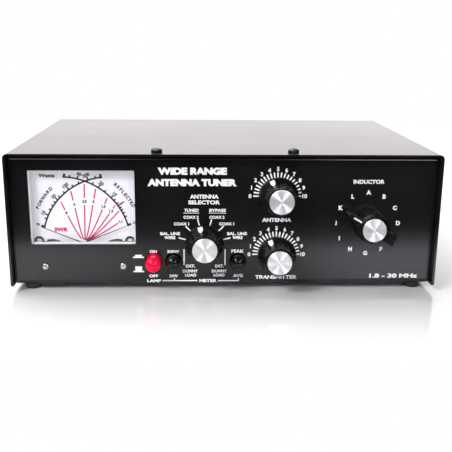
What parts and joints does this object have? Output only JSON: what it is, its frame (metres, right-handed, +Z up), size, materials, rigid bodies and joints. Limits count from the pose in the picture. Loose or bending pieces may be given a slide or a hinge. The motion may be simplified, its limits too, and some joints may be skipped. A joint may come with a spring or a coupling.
{
  "type": "antenna tuner",
  "caption": "Desk-top antenna tuner: folded black case, cross-needle meter, push buttons, selector and tuning knobs, and coaxial sockets at the rear.",
  "frame": {"origin": "centre of the object's footprint, on the surface it stands on", "axes": "+X to the right seen from the front, +Y towards the rear panel, +Z up"},
  "size_m": [0.27, 0.203, 0.0915],
  "materials": {
    "case_paint": "fine-grained semi-gloss black paint on folded steel",
    "black_screws": "black oxide",
    "rubber": "matt black rubber",
    "white_plastic": "moulded white plastic",
    "clear_plastic": "clear polished acrylic",
    "scale_print": "white printed scale",
    "needle_paint": "matt black",
    "cast_aluminium": "cast",
    "bulb_glass": "clear glass",
    "nickel": "bright nickel plate",
    "lamp_red": "glossy red",
    "button_black": "glossy black",
    "switch_black": "moulded black plastic",
    "circuit_board": "green solder mask",
    "ferrite": "sintered powder core",
    "plate_aluminium": "satin",
    "phenolic": "laminated phenolic",
    "knob_black": "moulded semi-gloss black",
    "spun_aluminium": "circular spun, bright",
    "copper_wire": "bare tinned copper wire",
    "ceramic": "glazed white ceramic"
  },
  "bodies": {
    "root": {"chassis": "case_paint", "top_cover": "case_paint", "cover_screw_left": "black_screws", "cover_screw_right": "black_screws", "foot_front_left": "rubber", "foot_front_right": "rubber", "foot_rear_left": "rubber", "foot_rear_right": "rubber", "meter_case": "white_plastic", "coil_former": "white_plastic", "meter_window": "clear_plastic", "meter_scale": "scale_print", "forward_movement": "cast_aluminium", "reflected_movement": "cast_aluminium", "meter_lamp": "bulb_glass", "meter_screw_left": "nickel", "meter_screw_right": "nickel", "transmitter_socket": "nickel", "coax_1_socket": "nickel", "coax_2_socket": "nickel", "dummy_load_socket": "nickel", "ground_stud": "nickel", "lamp_switch": "switch_black", "power_switch": "switch_black", "peak_switch": "switch_black", "power_jack": "switch_black", "meter_board": "circuit_board", "pickup_toroid": "ferrite", "low_band_toroid": "ferrite", "balun_toroid": "ferrite", "antenna_capacitor_frame": "plate_aluminium", "antenna_capacitor_stator": "plate_aluminium", "transmitter_capacitor_frame": "plate_aluminium", "transmitter_capacitor_stator": "plate_aluminium", "selector_switch": "phenolic", "inductor_switch": "phenolic", "inductor_coil": "copper_wire", "wire_post": "ceramic", "balanced_post_1": "ceramic", "balanced_post_2": "ceramic"},
    "antenna_tuning": {"antenna_capacitor_rotor": "plate_aluminium", "antenna_knob": "knob_black", "antenna_knob_cap": "spun_aluminium"},
    "transmitter_tuning": {"transmitter_capacitor_rotor": "plate_aluminium", "transmitter_knob": "knob_black", "transmitter_knob_cap": "spun_aluminium"},
    "selector": {"selector_shaft": "plate_aluminium", "selector_knob": "knob_black", "selector_knob_cap": "spun_aluminium"},
    "inductor": {"inductor_shaft": "plate_aluminium", "inductor_knob": "knob_black", "inductor_knob_cap": "spun_aluminium"},
    "forward_pointer": {"forward_needle": "needle_paint"},
    "reflected_pointer": {"reflected_needle": "needle_paint"},
    "lamp_push": {"lamp_button": "lamp_red"},
    "power_push": {"power_button": "button_black"},
    "peak_push": {"peak_button": "button_black"},
    "ground_slider": {"ground_washer": "nickel"},
    "ground_spinner": {"ground_wing_nut": "nickel"}
  },
  "joints": [
    {"name": "antenna_turn", "type": "hinge", "parent": "root", "child": "antenna_tuning", "pos_m": [0.0338, -0.094, 0.0619], "axis": [0, 1, 0], "range_deg": [-64, 116]},
    {"name": "transmitter_turn", "type": "hinge", "parent": "root", "child": "transmitter_tuning", "pos_m": [0.0335, -0.094, 0.0234], "axis": [0, 1, 0], "range_deg": [-64, 116]},
    {"name": "selector_turn", "type": "hinge", "parent": "root", "child": "selector", "pos_m": [-0.0128, -0.094, 0.0314], "axis": [0, 1, 0], "range_deg": [-90, 120]},
    {"name": "inductor_turn", "type": "hinge", "parent": "root", "child": "inductor", "pos_m": [0.0914, -0.094, 0.0441], "axis": [0, 1, 0], "range_deg": [-300, 30]},
    {"name": "forward_needle_swing", "type": "hinge", "parent": "root", "child": "forward_pointer", "pos_m": [-0.063, -0.08, 0.0199], "axis": [0, 1, 0], "range_deg": [0, 55], "stiffness_Nm_per_rad": 0.0001, "springref_deg": -2.86},
    {"name": "reflected_needle_swing", "type": "hinge", "parent": "root", "child": "reflected_pointer", "pos_m": [-0.1154, -0.079, 0.0199], "axis": [0, -1, 0], "range_deg": [0, 55], "stiffness_Nm_per_rad": 0.0001, "springref_deg": -2.86},
    {"name": "lamp_press", "type": "slide", "parent": "root", "child": "lamp_push", "axis": [0, 1, 0], "range_m": [0, 0.0048], "stiffness_N_per_m": 400, "springref_m": -0.001},
    {"name": "power_press", "type": "slide", "parent": "root", "child": "power_push", "axis": [0, 1, 0], "range_m": [-0.004, 0.0008], "stiffness_N_per_m": 400},
    {"name": "peak_press", "type": "slide", "parent": "root", "child": "peak_push", "axis": [0, 1, 0], "range_m": [-0.004, 0.0008], "stiffness_N_per_m": 400},
    {"name": "ground_nut_travel", "type": "slide", "parent": "root", "child": "ground_slider", "axis": [0, 1, 0], "range_m": [0, 0.0056]},
    {"name": "ground_nut_turn", "type": "hinge", "parent": "ground_slider", "child": "ground_spinner", "pos_m": [0.118, 0.091, 0.019], "axis": [0, 1, 0], "range_deg": [0, 2880]}
  ],
  "couplings": [
    {"joint": "ground_nut_turn", "follows": "ground_nut_travel", "rad_per_m": 8976}
  ]
}
